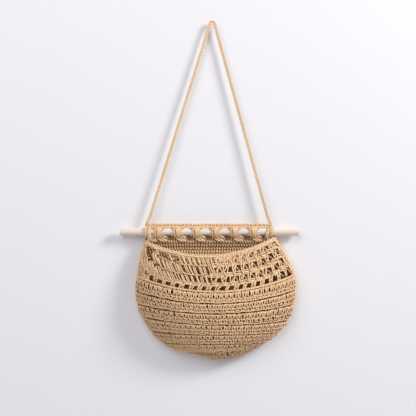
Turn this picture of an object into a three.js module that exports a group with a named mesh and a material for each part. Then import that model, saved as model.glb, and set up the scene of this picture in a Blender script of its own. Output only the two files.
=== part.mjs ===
// A crocheted cotton wall pocket: a bulging front panel on a flat back panel, hung by eight loops
// on a wooden dowel, which hangs on one cord.
// Millimetres, +X to the right, +Z up, and the front faces -Y. The origin is the hook seat, the
// inside of the cord's bend, so everything hangs below it.

import * as THREE from 'three';

// Between pieces
const pieceGap = 0.3;

// The dowel and where it hangs
const dowelLength = 350;
const dowelDiameter = 15;
const dowelChamfer = 0.8;
const dowelShift = -5.7; // from the hook's plumb line to the middle of the dowel
const hookToDowel = 411; // from the hook seat down to the dowel's axis
const hookToWall = 7.5; // from the hook seat back to the wall
const dowelSides = 32;

// The hanging cord and its eyes
const cordDiameter = 5.5;
const cordSides = 8;
const bightHalfWidth = 4.6; // half the distance between the cord's two legs just under the hook
const legFootRise = 17; // each leg bends towards its eye at this height above it
const leftFootInset = 7.6; // and this far inwards of the left eye
const rightFootInset = 6.9;
const eyeSteps = 20;

// The loops round the dowel and the arches between them
const loopClearance = 0.4;
const loopThickness = 5.5;
const loopWidth = 11;
const endLoopWidth = 4.5;
const loopSides = 24;
const leftEyeInset = 1; // how far the left eye lies inside the pocket's left corner
const rightEyeInset = 8; // and the right eye inside the right corner
const firstBay = 18.5; // from the left end loop to the next one
const lastBay = 29.6; // from the right end loop to the one before it
const middleLoops = 6;
const archDiameter = 6;
const archRise = 3.2;
const archSteps = 8;
const archSeatLength = 1.2; // the arch leaves each loop straight for this far

// The pocket
const pocketDrop = 251; // from the dowel's axis down to the lowest point
const pocketWidth = 314;
const pocketShift = 6.5; // from the hook's plumb line to the middle of the width
const pocketDepth = 60; // the bulge of the front panel at its fullest
const mouthDepth = 42; // the bulge at the rim
const fabricThickness = 5.5;
const seamDiameter = 4.4;
const edgingDiameter = 5;
const edgingSeatLength = 1.2; // the edging leaves each corner straight for this far
const rimSag = 31; // how far the rim hangs below the line between its ends
const bottomArcWidth = 78.5; // the last row's length along the bottom

// The front panel's openwork, between the rim and the first groove, and its close bands below
const openRows = 4;
const openColumns = 20;
const plainEdgeColumns = 2; // strips without openings at each side
// Shares of the openwork's height: the first open row's middle, the rows' pitch and half their height
const firstOpenRowShare = 0.12;
const openRowPitchShare = 0.26;
const openRowHalfShare = 0.07;
const bandBulge = 0.9;
const leanAngle = 0.23; // radians by which the openwork's columns lean at the rim

// Side outlines from a top corner to the bottom arc, as [drop, offset] shares: the drop below the
// dowel's axis as a share of pocketDrop, and the offset from the pocket's middle as a share of
// pocketWidth.
const leftOutlineShares = [
  [0.086, -0.444], [0.172, -0.466], [0.3125, -0.486], [0.453, -0.5], [0.594, -0.484],
  [0.6875, -0.45], [0.78, -0.403], [0.875, -0.322], [0.92, -0.247],
];
const rightOutlineShares = [
  [0.054, 0.381], [0.125, 0.4125], [0.219, 0.456], [0.3125, 0.488], [0.42, 0.5], [0.547, 0.494],
  [0.64, 0.475], [0.734, 0.434], [0.828, 0.355], [0.875, 0.296],
];

// The bottom arc's ends and middle, as shares of the same two lengths
const arcLeftDropShare = 0.974;
const arcRightDropShare = 0.961;
const arcMiddleShare = 0.047;

// The rim, the seven grooves and the bottom, as [left, right, sag] shares: how far along each side
// outline the row ends, and its sag as a share of rimSag.
const rowShares = [
  [0, 0, 1], [0.223, 0.279, 0.9], [0.322, 0.383, 0.69], [0.407, 0.48, 0.48], [0.498, 0.602, 0.25],
  [0.611, 0.704, 0.06], [0.719, 0.818, 0], [0.87, 0.915, 0.06], [1, 1, 0.26],
];
const fullestShare = 0.4; // how far down from the rim the pocket is fullest
const lowerBulgePower = 1.6;
const outlineSteps = 16;

// Colours of the two materials
const cottonColour = 0xc49f78;
const paleCottonColour = 0xdcbd98;
const woodColour = 0xe9dccf;

// Places worked out from the sizes above
const dowelRadius = dowelDiameter / 2;
const boreRadius = dowelRadius + loopClearance;
const loopOuterRadius = boreRadius + loopThickness;
const eyeRadius = boreRadius + cordDiameter / 2;
const casingRadius = Math.max(loopOuterRadius, boreRadius + cordDiameter);
const dowelY = hookToWall - casingRadius;
const dowelZ = -hookToDowel;
const backFrontY = hookToWall - fabricThickness;
const seamY = backFrontY - pieceGap - seamDiameter / 2;
const frontEdgeY = seamY - seamDiameter / 2 - pieceGap;

const { lerp, clamp } = THREE.MathUtils;

/** A route whose steps fall exactly on its own points. */
class PointRoute extends THREE.Curve {
  constructor(points) {
    super();
    this.points = points;
  }

  getPoint(t, target = new THREE.Vector3()) {
    const last = this.points.length - 1;
    const at = Math.min(last, Math.max(0, t * last));
    const before = Math.min(last - 1, Math.floor(at));
    return target.lerpVectors(this.points[before], this.points[before + 1], at - before);
  }

  getPointAt(t, target) {
    return this.getPoint(t, target);
  }

  getTangentAt(t, target = new THREE.Vector3()) {
    const last = this.points.length - 1;
    const index = Math.round(t * last);
    const before = this.points[Math.max(0, index - 1)];
    const after = this.points[Math.min(last, index + 1)];
    return target.subVectors(after, before).normalize();
  }
}

/** A round tube through the points, closed by a flat face at each end. */
function tubeAlong(points, diameter, sides) {
  const section = new THREE.Shape();
  section.absarc(0, 0, diameter / 2, 0, 2 * Math.PI);
  return new THREE.ExtrudeGeometry(section, {
    steps: points.length - 1,
    curveSegments: sides / 2,
    extrudePath: new PointRoute(points),
  });
}

/** A flat-sided ring round the dowel, centred on its axis along X. */
function ringRoundDowel(width, outerRadius) {
  const half = width / 2;
  const profile = [
    new THREE.Vector2(boreRadius, -half),
    new THREE.Vector2(outerRadius, -half),
    new THREE.Vector2(outerRadius, half),
    new THREE.Vector2(boreRadius, half),
    new THREE.Vector2(boreRadius, -half),
  ];
  return new THREE.LatheGeometry(profile, loopSides).rotateZ(Math.PI / 2);
}

const cotton = { color: cottonColour, roughness: 0.95, metalness: 0 };
const paleCotton = { color: paleCottonColour, roughness: 0.95, metalness: 0 };
const wood = { color: woodColour, roughness: 0.6, metalness: 0 };

/** A named mesh with a material of its own. */
function piece(name, geometry, finish) {
  const mesh = new THREE.Mesh(geometry, new THREE.MeshStandardMaterial(finish));
  mesh.name = name;
  return mesh;
}

// The pocket's outline, in the XZ plane

/** The place of an outline share pair. */
function outlinePoint([drop, offset]) {
  return new THREE.Vector3(pocketShift + offset * pocketWidth, 0, dowelZ - drop * pocketDrop);
}

const arcMiddleX = pocketShift + arcMiddleShare * pocketWidth;
const arcLeft = new THREE.Vector3(
  arcMiddleX - bottomArcWidth / 2, 0, dowelZ - arcLeftDropShare * pocketDrop,
);
const arcRight = new THREE.Vector3(
  arcMiddleX + bottomArcWidth / 2, 0, dowelZ - arcRightDropShare * pocketDrop,
);
const leftSide = new THREE.CatmullRomCurve3([...leftOutlineShares.map(outlinePoint), arcLeft]);
const rightSide = new THREE.CatmullRomCurve3([...rightOutlineShares.map(outlinePoint), arcRight]);
const leftCorner = leftSide.getPoint(0);
const rightCorner = rightSide.getPoint(0);

const bottomRow = rowShares.length - 1;
const rowCurve = new THREE.CatmullRomCurve3(rowShares.map((shares) => new THREE.Vector3(...shares)));
rowCurve.curveType = 'catmullrom';

/** Where a row of the front panel ends at each side, its sag, and the height of its middle. */
function rowPlace(row) {
  const shares = rowCurve.getPoint(row / bottomRow);
  const left = leftSide.getPointAt(clamp(shares.x, 0, 1));
  const right = rightSide.getPointAt(clamp(shares.y, 0, 1));
  const sag = shares.z * rimSag;
  return { left, right, sag, middleZ: (left.z + right.z) / 2 - sag };
}

const rimMiddleZ = rowPlace(0).middleZ;
const bottomMiddleZ = rowPlace(bottomRow).middleZ;

/** How far the front panel bulges at a height in its middle: fullest below the rim, none at the bottom. */
function bulgeAt(middleZ) {
  const share = clamp((rimMiddleZ - middleZ) / (rimMiddleZ - bottomMiddleZ), 0, 1);
  if (share < fullestShare) {
    return lerp(pocketDepth, mouthDepth, (1 - share / fullestShare) ** 2);
  }
  const below = (share - fullestShare) / (1 - fullestShare);
  return pocketDepth * Math.sqrt(1 - below ** lowerBulgePower);
}

/** A point of the front panel's outer face; angle runs from 0 at the left edge to PI at the right. */
function frontPoint(angle, row) {
  const { left, right, sag, middleZ } = rowPlace(row);
  const across = (1 - Math.cos(angle)) / 2;
  return new THREE.Vector3(
    lerp(left.x, right.x, across),
    frontEdgeY - bulgeAt(middleZ) * Math.sin(angle),
    lerp(left.z, right.z, across) - sag * 4 * across * (1 - across),
  );
}

/** The bottom arc, the front panel's last row, from left to right. */
function bottomArc(steps) {
  return Array.from({ length: steps + 1 }, (_, i) => {
    const point = frontPoint((Math.PI * i) / steps, bottomRow);
    return point.setY(0);
  });
}

/** The whole outline from the left corner down, along the bottom and up to the right corner. */
function outlinePoints() {
  const down = leftSide.getSpacedPoints(outlineSteps);
  const up = rightSide.getSpacedPoints(outlineSteps).reverse();
  return [...down.slice(0, -1), ...bottomArc(outlineSteps / 2), ...up.slice(1)];
}

/** The outline moved inwards by an inset, and into the plane y. */
function insetOutline(inset, y) {
  const points = outlinePoints();
  return points.map((point, i) => {
    const along = new THREE.Vector3().subVectors(
      points[Math.min(points.length - 1, i + 1)], points[Math.max(0, i - 1)],
    ).normalize();
    return new THREE.Vector3(point.x - along.z * inset, y, point.z + along.x * inset);
  });
}

// The loops' places along the dowel

const leftEyeX = leftCorner.x + leftEyeInset + cordDiameter / 2;
const rightEyeX = rightCorner.x - rightEyeInset - cordDiameter / 2;
const eyeToLoop = cordDiameter / 2 + pieceGap + endLoopWidth / 2;
const firstLoopX = leftEyeX + eyeToLoop;
const lastLoopX = rightEyeX - eyeToLoop;
const loops = [
  { x: firstLoopX, width: endLoopWidth },
  ...Array.from({ length: middleLoops }, (_, i) => ({
    x: lerp(firstLoopX + firstBay, lastLoopX - lastBay, i / (middleLoops - 1)),
    width: loopWidth,
  })),
  { x: lastLoopX, width: endLoopWidth },
];

function makeDowel() {
  const half = dowelLength / 2;
  const endRadius = dowelRadius - dowelChamfer;
  const profile = [
    new THREE.Vector2(0, -half),
    new THREE.Vector2(endRadius, -half),
    new THREE.Vector2(dowelRadius, -half + dowelChamfer),
    new THREE.Vector2(dowelRadius, half - dowelChamfer),
    new THREE.Vector2(endRadius, half),
    new THREE.Vector2(0, half),
  ];
  const dowel = piece('dowel', new THREE.LatheGeometry(profile, dowelSides), wood);
  dowel.rotation.z = Math.PI / 2;
  dowel.position.set(dowelShift, dowelY, dowelZ);
  return dowel;
}

/** The hanging cord: two straight legs from the eyes, joined by a bend over the hook. */
function makeHangingCord() {
  const legSteps = 24;
  const bendSteps = 8;
  const seatZ = dowelZ + casingRadius + pieceGap;
  const bendZ = cordDiameter / 2 - bightHalfWidth;
  const leg = (eyeX, footX, topX) => {
    const foot = new THREE.Vector3(footX, dowelY, seatZ + legFootRise);
    const top = new THREE.Vector3(topX, 0, bendZ);
    const points = [new THREE.Vector3(eyeX, dowelY, seatZ)];
    for (let i = 0; i < legSteps; i++) {
      points.push(foot.clone().lerp(top, i / legSteps));
    }
    return points;
  };
  const bend = Array.from({ length: bendSteps + 1 }, (_, i) => {
    const turn = Math.PI * (1 - i / bendSteps);
    return new THREE.Vector3(
      bightHalfWidth * Math.cos(turn), 0, bendZ + bightHalfWidth * Math.sin(turn),
    );
  });
  const route = [
    ...leg(leftEyeX, leftEyeX + leftFootInset, -bightHalfWidth),
    ...bend,
    ...leg(rightEyeX, rightEyeX - rightFootInset, bightHalfWidth).reverse(),
  ];
  return piece('hanging_cord', tubeAlong(route, cordDiameter, cordSides), cotton);
}

function makeEye(name, x) {
  const ring = new THREE.TorusGeometry(eyeRadius, cordDiameter / 2, cordSides, eyeSteps);
  const eye = piece(name, ring.rotateY(Math.PI / 2), cotton);
  eye.position.set(x, dowelY, dowelZ);
  return eye;
}

function makeLoops() {
  return loops.map(({ x, width }, i) => {
    const loop = piece(`dowel_loop_${i + 1}`, ringRoundDowel(width, loopOuterRadius), cotton);
    loop.position.set(x, dowelY, dowelZ);
    return loop;
  });
}

/** The chain arches above the dowel, each from one loop's side to the next one's. */
function makeArches() {
  const seatZ = dowelZ + boreRadius + archDiameter / 2;
  return loops.slice(1).map((right, i) => {
    const left = loops[i];
    const startX = left.x + left.width / 2 + pieceGap;
    const endX = right.x - right.width / 2 - pieceGap;
    const route = [new THREE.Vector3(startX, dowelY, seatZ)];
    for (let step = 0; step <= archSteps; step++) {
      const share = step / archSteps;
      const x = lerp(startX + archSeatLength, endX - archSeatLength, share);
      const rise = archRise * Math.sin(Math.PI * share) ** 2;
      route.push(new THREE.Vector3(x, dowelY, seatZ + rise));
    }
    route.push(new THREE.Vector3(endX, dowelY, seatZ));
    return piece(`top_arch_${i + 1}`, tubeAlong(route, archDiameter, cordSides), cotton);
  });
}

/** The back panel's straight top edge, close under the loops and the eyes, from right to left. */
function backTopEdge() {
  const backOffset = backFrontY - dowelY;
  const topZ = dowelZ - Math.sqrt((casingRadius + pieceGap) ** 2 - backOffset ** 2);
  return [
    new THREE.Vector2(rightEyeX + cordDiameter / 2, topZ),
    new THREE.Vector2(leftEyeX - cordDiameter / 2, topZ),
  ];
}

function makeBackPanel() {
  const outline = outlinePoints().map((point) => new THREE.Vector2(point.x, point.z));
  const shape = new THREE.Shape([...outline, ...backTopEdge()]);
  const slab = new THREE.ExtrudeGeometry(shape, { depth: fabricThickness, bevelEnabled: false });
  const panel = piece('back_panel', slab.rotateX(Math.PI / 2), cotton);
  panel.position.y = hookToWall;
  return panel;
}

/** The rows of the front panel's grid, each with its bulge and whether openings follow it. */
function frontRows() {
  const rows = [{ row: 0, bulge: 0, open: false }];
  for (let k = 0; k < openRows; k++) {
    const middle = firstOpenRowShare + k * openRowPitchShare;
    rows.push({ row: middle - openRowHalfShare, bulge: 0, open: true });
    rows.push({ row: middle + openRowHalfShare, bulge: 0, open: false });
  }
  for (let groove = 1; groove < bottomRow; groove++) {
    rows.push({ row: groove, bulge: 0, open: false });
    rows.push({ row: groove + 0.5, bulge: bandBulge, open: false });
  }
  rows.push({ row: bottomRow, bulge: 0, open: false });
  return rows;
}

/** The angles of the front panel's columns, spaced evenly along the first groove. */
function frontColumns() {
  const columns = 2 * (openColumns + plainEdgeColumns) - 1;
  const samples = 240;
  const lengths = [0];
  let before = frontPoint(0, 1);
  for (let i = 1; i <= samples; i++) {
    const point = frontPoint((Math.PI * i) / samples, 1);
    lengths.push(lengths[i - 1] + point.distanceTo(before));
    before = point;
  }
  return Array.from({ length: columns + 1 }, (_, column) => {
    const wanted = (lengths[samples] * column) / columns;
    const after = Math.max(1, lengths.findIndex((length) => length >= wanted));
    const share = (wanted - lengths[after - 1]) / (lengths[after] - lengths[after - 1]);
    return (Math.PI * (after - 1 + share)) / samples;
  });
}

/** The outer face's points, row by row, with the openwork's columns leaning to the right. */
function frontGrid(rows, columns) {
  return rows.map((row) => columns.map((angle) => {
    const lean = leanAngle * Math.max(0, 1 - row) * Math.sin(angle);
    return frontPoint(angle + lean, row);
  }));
}

/** The outward direction at each grid point; on the panel's edge it lies in the seam's plane. */
function gridNormals(grid) {
  const lastRow = grid.length - 1;
  const lastColumn = grid[0].length - 1;
  return grid.map((row, j) => row.map((_, i) => {
    const along = new THREE.Vector3().subVectors(
      grid[j][Math.min(lastColumn, i + 1)], grid[j][Math.max(0, i - 1)],
    );
    const down = new THREE.Vector3().subVectors(
      grid[Math.min(lastRow, j + 1)][i], grid[Math.max(0, j - 1)][i],
    );
    if (i === 0) {
      return new THREE.Vector3(down.z, 0, -down.x).normalize();
    }
    if (i === lastColumn) {
      return new THREE.Vector3(-down.z, 0, down.x).normalize();
    }
    if (j === lastRow) {
      return new THREE.Vector3(along.z, 0, -along.x).normalize();
    }
    return new THREE.Vector3().crossVectors(down, along).normalize();
  }));
}

/** The front panel: an outer and an inner face, joined at the edge and round every opening. */
function makeFrontPanel() {
  const rows = frontRows();
  const columns = frontColumns();
  const grid = frontGrid(rows.map(({ row }) => row), columns);
  const normals = gridNormals(grid);
  const width = columns.length;
  const lastRow = rows.length - 1;
  const positions = [];
  const indices = [];
  for (const inner of [false, true]) {
    grid.forEach((row, j) => row.forEach((point, i) => {
      const onEdge = i === 0 || i === width - 1 || j === 0 || j === lastRow;
      const outwards = inner ? -fabricThickness : onEdge ? 0 : rows[j].bulge;
      positions.push(...point.clone().addScaledVector(normals[j][i], outwards).toArray());
    }));
  }
  const innerStart = grid.length * width;
  const lastOpen = width - 2 - plainEdgeColumns;
  const isOpen = (j, i) => (
    rows[j].open && (i - plainEdgeColumns) % 2 === 0 && i >= plainEdgeColumns && i <= lastOpen
  );
  const isCloth = (j, i) => j >= 0 && j < lastRow && i >= 0 && i < width - 1 && !isOpen(j, i);
  const quad = (a, b, c, d) => indices.push(a, b, c, a, c, d);
  for (let j = 0; j < lastRow; j++) {
    for (let i = 0; i < width - 1; i++) {
      if (!isCloth(j, i)) {
        continue;
      }
      const upperLeft = j * width + i;
      const upperRight = upperLeft + 1;
      const lowerLeft = upperLeft + width;
      const lowerRight = lowerLeft + 1;
      quad(upperLeft, lowerLeft, lowerRight, upperRight);
      quad(
        innerStart + upperLeft, innerStart + upperRight,
        innerStart + lowerRight, innerStart + lowerLeft,
      );
      const walls = [
        [isCloth(j - 1, i), upperRight, upperLeft],
        [isCloth(j + 1, i), lowerLeft, lowerRight],
        [isCloth(j, i - 1), upperLeft, lowerLeft],
        [isCloth(j, i + 1), lowerRight, upperRight],
      ];
      for (const [covered, from, to] of walls) {
        if (!covered) {
          quad(to, from, innerStart + from, innerStart + to);
        }
      }
    }
  }
  const geometry = new THREE.BufferGeometry();
  geometry.setAttribute('position', new THREE.Float32BufferAttribute(positions, 3));
  geometry.setIndex(indices);
  return piece('front_panel', geometry, cotton);
}

/** The thick edging along the front panel's rim, from one corner to the other. */
function makeMouthEdging() {
  const grid = frontGrid([0, openRowHalfShare], frontColumns());
  const normals = gridNormals(grid);
  const lift = edgingDiameter / 2 + pieceGap;
  const route = grid[0].map((point, i) => {
    const up = new THREE.Vector3().subVectors(point, grid[1][i]).normalize();
    return point.clone()
      .addScaledVector(normals[0][i], -fabricThickness / 2)
      .addScaledVector(up, lift);
  });
  const seat = new THREE.Vector3(0, -edgingSeatLength, 0);
  route.splice(1, 0, route[0].clone().add(seat));
  route.splice(-1, 0, route[route.length - 1].clone().add(seat));
  return piece('mouth_edging', tubeAlong(route, edgingDiameter, cordSides), paleCotton);
}

function makeSideSeam() {
  const route = insetOutline(seamDiameter / 2, seamY);
  return piece('side_seam', tubeAlong(route, seamDiameter, cordSides), cotton);
}

const hanger = new THREE.Group();
hanger.add(
  makeHangingCord(),
  makeEye('left_cord_eye', leftEyeX),
  makeEye('right_cord_eye', rightEyeX),
);

const front = new THREE.Group();
front.add(makeFrontPanel(), makeMouthEdging());

const pocket = new THREE.Group();
pocket.add(makeBackPanel(), makeSideSeam(), ...makeLoops(), ...makeArches(), front);

const wallPocket = new THREE.Group();
wallPocket.add(hanger, makeDowel(), pocket);

export default wallPocket;
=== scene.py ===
"""Dresses the crocheted wall pocket: every strand of its yarn, the sanded dowel, and a plain wall.

Lengths are in metres in the frame's own axes, unless a name ends in _MM.
"""

import math

import bpy
import numpy as np
from bpy.props import FloatProperty, FloatVectorProperty, PointerProperty
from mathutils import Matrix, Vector


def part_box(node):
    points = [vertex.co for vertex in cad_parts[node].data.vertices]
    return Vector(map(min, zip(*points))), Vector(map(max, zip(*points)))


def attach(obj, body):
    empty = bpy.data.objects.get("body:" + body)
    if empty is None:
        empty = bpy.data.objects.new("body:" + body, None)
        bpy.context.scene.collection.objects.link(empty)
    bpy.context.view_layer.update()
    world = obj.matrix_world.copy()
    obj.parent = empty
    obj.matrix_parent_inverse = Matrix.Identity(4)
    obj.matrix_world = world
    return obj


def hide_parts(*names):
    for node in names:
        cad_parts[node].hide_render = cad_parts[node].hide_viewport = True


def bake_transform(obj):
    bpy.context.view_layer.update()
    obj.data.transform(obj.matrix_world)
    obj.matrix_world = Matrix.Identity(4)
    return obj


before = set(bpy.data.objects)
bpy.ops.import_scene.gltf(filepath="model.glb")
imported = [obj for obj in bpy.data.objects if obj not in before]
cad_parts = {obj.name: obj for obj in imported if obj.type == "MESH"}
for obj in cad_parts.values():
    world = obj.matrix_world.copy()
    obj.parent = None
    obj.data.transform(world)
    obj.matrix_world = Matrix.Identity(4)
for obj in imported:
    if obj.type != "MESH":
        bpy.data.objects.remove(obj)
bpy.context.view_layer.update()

bl_info = {
    "name": "Crocheted wall pocket",
    "version": (1, 0, 0),
    "blender": (4, 5, 0),
    "location": "3D View > Sidebar > Wall Pocket",
    "description": "Makes a crocheted cotton wall pocket stitch by stitch round its solids",
    "category": "Object",
}

MM = 0.001


def linear(code):
    """A colour of the scene from its sRGB hex value."""
    shares = [int(code[i : i + 2], 16) / 255 for i in (1, 3, 5)]
    return [c / 12.92 if c <= 0.04045 else ((c + 0.055) / 1.055) ** 2.4 for c in shares]


# The solids' own sizes, in millimetres, shares and radians

HOOK_TO_DOWEL_MM = 411
DOWEL_Y_MM = -5.9
BORE_RADIUS_MM = 7.9
POCKET_DROP_MM = 251
POCKET_WIDTH_MM = 314
POCKET_SHIFT_MM = 6.5
POCKET_DEPTH_MM = 60
MOUTH_DEPTH_MM = 42
RIM_SAG_MM = 31
BOTTOM_ARC_WIDTH_MM = 78.5
FRONT_EDGE_Y_MM = -3.0
SEAM_Y_MM = -0.5
BACK_MIDDLE_Y_MM = 4.75
LEAN_ANGLE = 0.23
FULLEST_SHARE = 0.4
LOWER_BULGE_POWER = 1.6
# Points down each side, as [share of the drop, offset from the middle in pocket widths].
LEFT_OUTLINE_SHARES = [
    (0.086, -0.444), (0.172, -0.466), (0.3125, -0.486), (0.453, -0.5), (0.594, -0.484),
    (0.6875, -0.45), (0.78, -0.403), (0.875, -0.322), (0.92, -0.247),
]
RIGHT_OUTLINE_SHARES = [
    (0.054, 0.381), (0.125, 0.4125), (0.219, 0.456), (0.3125, 0.488), (0.42, 0.5),
    (0.547, 0.494), (0.64, 0.475), (0.734, 0.434), (0.828, 0.355), (0.875, 0.296),
]
ARC_LEFT_DROP_SHARE = 0.974
ARC_RIGHT_DROP_SHARE = 0.961
ARC_MIDDLE_SHARE = 0.047
# For each row from the mouth to the bottom: its share down the left side and down the right side,
# and its share of the rim's sag.
ROW_SHARES = [
    (0, 0, 1), (0.223, 0.279, 0.9), (0.322, 0.383, 0.69), (0.407, 0.48, 0.48),
    (0.498, 0.602, 0.25), (0.611, 0.704, 0.06), (0.719, 0.818, 0), (0.87, 0.915, 0.06),
    (1, 1, 0.26),
]
BOTTOM_ROW = 8
MIDDLE_COLUMN_ANGLE = 1.546
COLUMN_STEP_ANGLE = 0.116
COLUMN_SPREAD_ANGLE = 0.00019
OPEN_ROW_MIDDLES = [0.12, 0.365, 0.625, 0.88]
OPEN_ROW_PITCH = 0.26

# The cord's route, repeated from its solid, in millimetres

LEFT_EYE_X_MM = -129.166
RIGHT_EYE_X_MM = 115.384
CORD_FOOT_Z_MM = -380.3
EYE_TOP_Z_MM = -397.3
LEFT_FOOT_INSET_MM = 7.6
RIGHT_FOOT_INSET_MM = 6.9
BIGHT_HALF_WIDTH_MM = 4.6
BEND_Z_MM = -1.85
CORD_ROUTE_POINTS = 320


class YarnSettings(bpy.types.PropertyGroup):
    """The cotton yarn that everything but the dowel is made of."""

    thickness: FloatProperty(
        name="Thickness", description="Diameter of one strand",
        default=2.75 * MM, min=1 * MM, max=6 * MM, unit="LENGTH", precision=4,
    )
    stitch_width: FloatProperty(
        name="Stitch width", description="Width of one close stitch along its row",
        default=10 * MM, min=4 * MM, max=20 * MM, unit="LENGTH", precision=4,
    )
    back_row: FloatProperty(
        name="Back row", description="Height of one row of the back panel",
        default=6.5 * MM, min=4 * MM, max=20 * MM, unit="LENGTH", precision=4,
    )
    colour: FloatVectorProperty(
        name="Colour", description="Undyed cotton", subtype="COLOR", size=3, min=0, max=1,
        default=linear("#fcd2a5"),
    )
    pale_colour: FloatVectorProperty(
        name="Pale colour", description="The mouth's edging", subtype="COLOR", size=3,
        min=0, max=1, default=linear("#f0d0a8"),
    )
    # Painted shade: the dark brown painted down the strands' flanks and between their plies.
    painted_shade_colour: FloatVectorProperty(
        name="Deep colour", description="On the strands' hidden flanks",
        subtype="COLOR", size=3, min=0, max=1, default=linear("#75390c"),
    )
    # Painted shade: the brown that the back panel's strands and skin take deep inside the pocket.
    inside_shade_colour: FloatVectorProperty(
        name="Inside colour", description="On the strands that lie hidden inside the pocket",
        subtype="COLOR", size=3, min=0, max=1, default=linear("#a17b51"),
    )


class DowelSettings(bpy.types.PropertyGroup):
    """The wooden dowel's finish."""

    colour: FloatVectorProperty(
        name="Wood", description="Sanded, unvarnished", subtype="COLOR", size=3, min=0,
        max=1, default=linear("#e5dacf"),
    )
    grain_colour: FloatVectorProperty(
        name="Grain", description="Late wood", subtype="COLOR", size=3, min=0, max=1,
        default=linear("#d2c0ae"),
    )


class StageSettings(bpy.types.PropertyGroup):
    """Wall, floor, lights and camera."""

    wall_colour: FloatVectorProperty(
        name="Wall", description="Painted wall and floor", subtype="COLOR", size=3, min=0, max=1,
        default=linear("#e7e6e9"),
    )
    key_power: FloatProperty(name="Key light", description="Watts", default=80, min=0)
    front_power: FloatProperty(name="Front light", description="Watts", default=33.5, min=0)
    back_power: FloatProperty(name="Back light", description="Watts", default=25, min=0)
    fill_strength: FloatProperty(
        name="Fill", description="Light from all round", default=0.34, min=0
    )
    lens: FloatProperty(
        name="Lens", description="Focal length", default=88.2, min=20, unit="CAMERA"
    )


# Curves and surfaces


def smooth(points, count, power=0.0):
    """Points spaced along Catmull-Rom curves through the last-but-one axis of points.

    power is 0 for evenly timed knots and 0.5 for centripetal ones.
    """
    p = np.asarray(points, float)
    first = 2 * p[..., :1, :] - p[..., 1:2, :]
    last = 2 * p[..., -1:, :] - p[..., -2:-1, :]
    p = np.concatenate([first, p, last], axis=-2)
    gaps = np.linalg.norm(np.diff(p, axis=-2), axis=-1, keepdims=True) ** power
    segments = p.shape[-2] - 3
    time = np.linspace(0, segments, count)
    at = np.minimum(time.astype(int), segments - 1)
    f = (time - at)[:, None]
    a, b, c, d = (p[..., at + k, :] for k in range(4))
    ga, gb, gc = (gaps[..., at + k, :] for k in range(3))
    start = ((b - a) / ga - (c - a) / (ga + gb) + (c - b) / gb) * gb
    end = ((c - b) / gb - (d - b) / (gb + gc) + (d - c) / gc) * gb
    bend = -3 * b + 3 * c - 2 * start - end
    return b + f * start + f**2 * bend + f**3 * (2 * b - 2 * c + start + end)


def lengths_along(points):
    """The distance along a line at each of its points."""
    steps = np.linalg.norm(np.diff(points, axis=-2), axis=-1)
    return np.concatenate([np.zeros(steps.shape[:-1] + (1,)), np.cumsum(steps, axis=-1)], axis=-1)


def looked_up(places, known, values):
    """The rows of values at some places along a line, from those at its known places."""
    return np.stack([np.interp(places, known, column) for column in values.T], axis=-1)


def spaced(points, count):
    """count points evenly spaced along a line."""
    points = np.asarray(points, float)
    along = lengths_along(points)
    return looked_up(np.linspace(0, along[-1], count), along, points)


def unit(vectors):
    """Vectors brought to length 1."""
    return vectors / np.maximum(np.linalg.norm(vectors, axis=-1, keepdims=True), 1e-12)


def side_outline(shares, end):
    """Evenly spaced points of one side outline, from a top corner to the bottom arc, as (x, z)."""
    points = [
        (POCKET_SHIFT_MM + offset * POCKET_WIDTH_MM, -HOOK_TO_DOWEL_MM - drop * POCKET_DROP_MM)
        for drop, offset in shares
    ]
    return spaced(smooth(points + [end], count=401, power=0.5), 401) * MM


def arc_end(side, drop_share):
    """One end of the bottom arc in millimetres; side is -1 for left and 1 for right."""
    middle = POCKET_SHIFT_MM + ARC_MIDDLE_SHARE * POCKET_WIDTH_MM
    return middle + side * BOTTOM_ARC_WIDTH_MM / 2, -HOOK_TO_DOWEL_MM - drop_share * POCKET_DROP_MM


LEFT_SIDE = side_outline(LEFT_OUTLINE_SHARES, arc_end(-1, ARC_LEFT_DROP_SHARE))
RIGHT_SIDE = side_outline(RIGHT_OUTLINE_SHARES, arc_end(1, ARC_RIGHT_DROP_SHARE))
ROWS = np.linspace(0, BOTTOM_ROW, 40 * BOTTOM_ROW + 1)


def row_table():
    """For each of ROWS: left x, left z, right x, right z, sag and bulge."""
    shares = smooth(ROW_SHARES, len(ROWS))
    along = np.linspace(0, 1, len(LEFT_SIDE))
    left, right = (
        looked_up(np.clip(share, 0, 1), along, side)
        for share, side in ((shares[:, 0], LEFT_SIDE), (shares[:, 1], RIGHT_SIDE))
    )
    sag = shares[:, 2] * RIM_SAG_MM * MM
    middle = (left[:, 1] + right[:, 1]) / 2 - sag
    down = np.clip((middle[0] - middle) / (middle[0] - middle[-1]), 0, 1)
    upper = POCKET_DEPTH_MM + (MOUTH_DEPTH_MM - POCKET_DEPTH_MM) * (1 - down / FULLEST_SHARE) ** 2
    below = np.clip((down - FULLEST_SHARE) / (1 - FULLEST_SHARE), 0, 1)
    lower = POCKET_DEPTH_MM * np.sqrt(1 - below**LOWER_BULGE_POWER)
    bulge = np.where(down < FULLEST_SHARE, upper, lower) * MM
    return np.column_stack([left, right, sag, bulge])


ROW_TABLE = row_table()


def front_point(angle, row):
    """The front panel's outer face; angle runs from 0 at its left edge to pi at its right."""
    angle, row = np.broadcast_arrays(angle, np.clip(row, 0, BOTTOM_ROW))
    lx, lz, rx, rz, sag, bulge = (np.interp(row, ROWS, column) for column in ROW_TABLE.T)
    across = (1 - np.cos(angle)) / 2
    return np.stack(
        [
            lx + (rx - lx) * across,
            FRONT_EDGE_Y_MM * MM - bulge * np.sin(angle),
            lz + (rz - lz) * across - sag * 4 * across * (1 - across),
        ],
        axis=-1,
    )


GRID_ROWS = np.linspace(0, BOTTOM_ROW, 161)
GRID_ANGLES = np.linspace(0, math.pi, 241)
GRID_LENGTHS = lengths_along(front_point(GRID_ANGLES[None, :], GRID_ROWS[:, None]))
SHARES = np.linspace(0, 1, 241)
ANGLE_TABLE = np.stack([np.interp(SHARES, row / row[-1], GRID_ANGLES) for row in GRID_LENGTHS])


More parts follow.
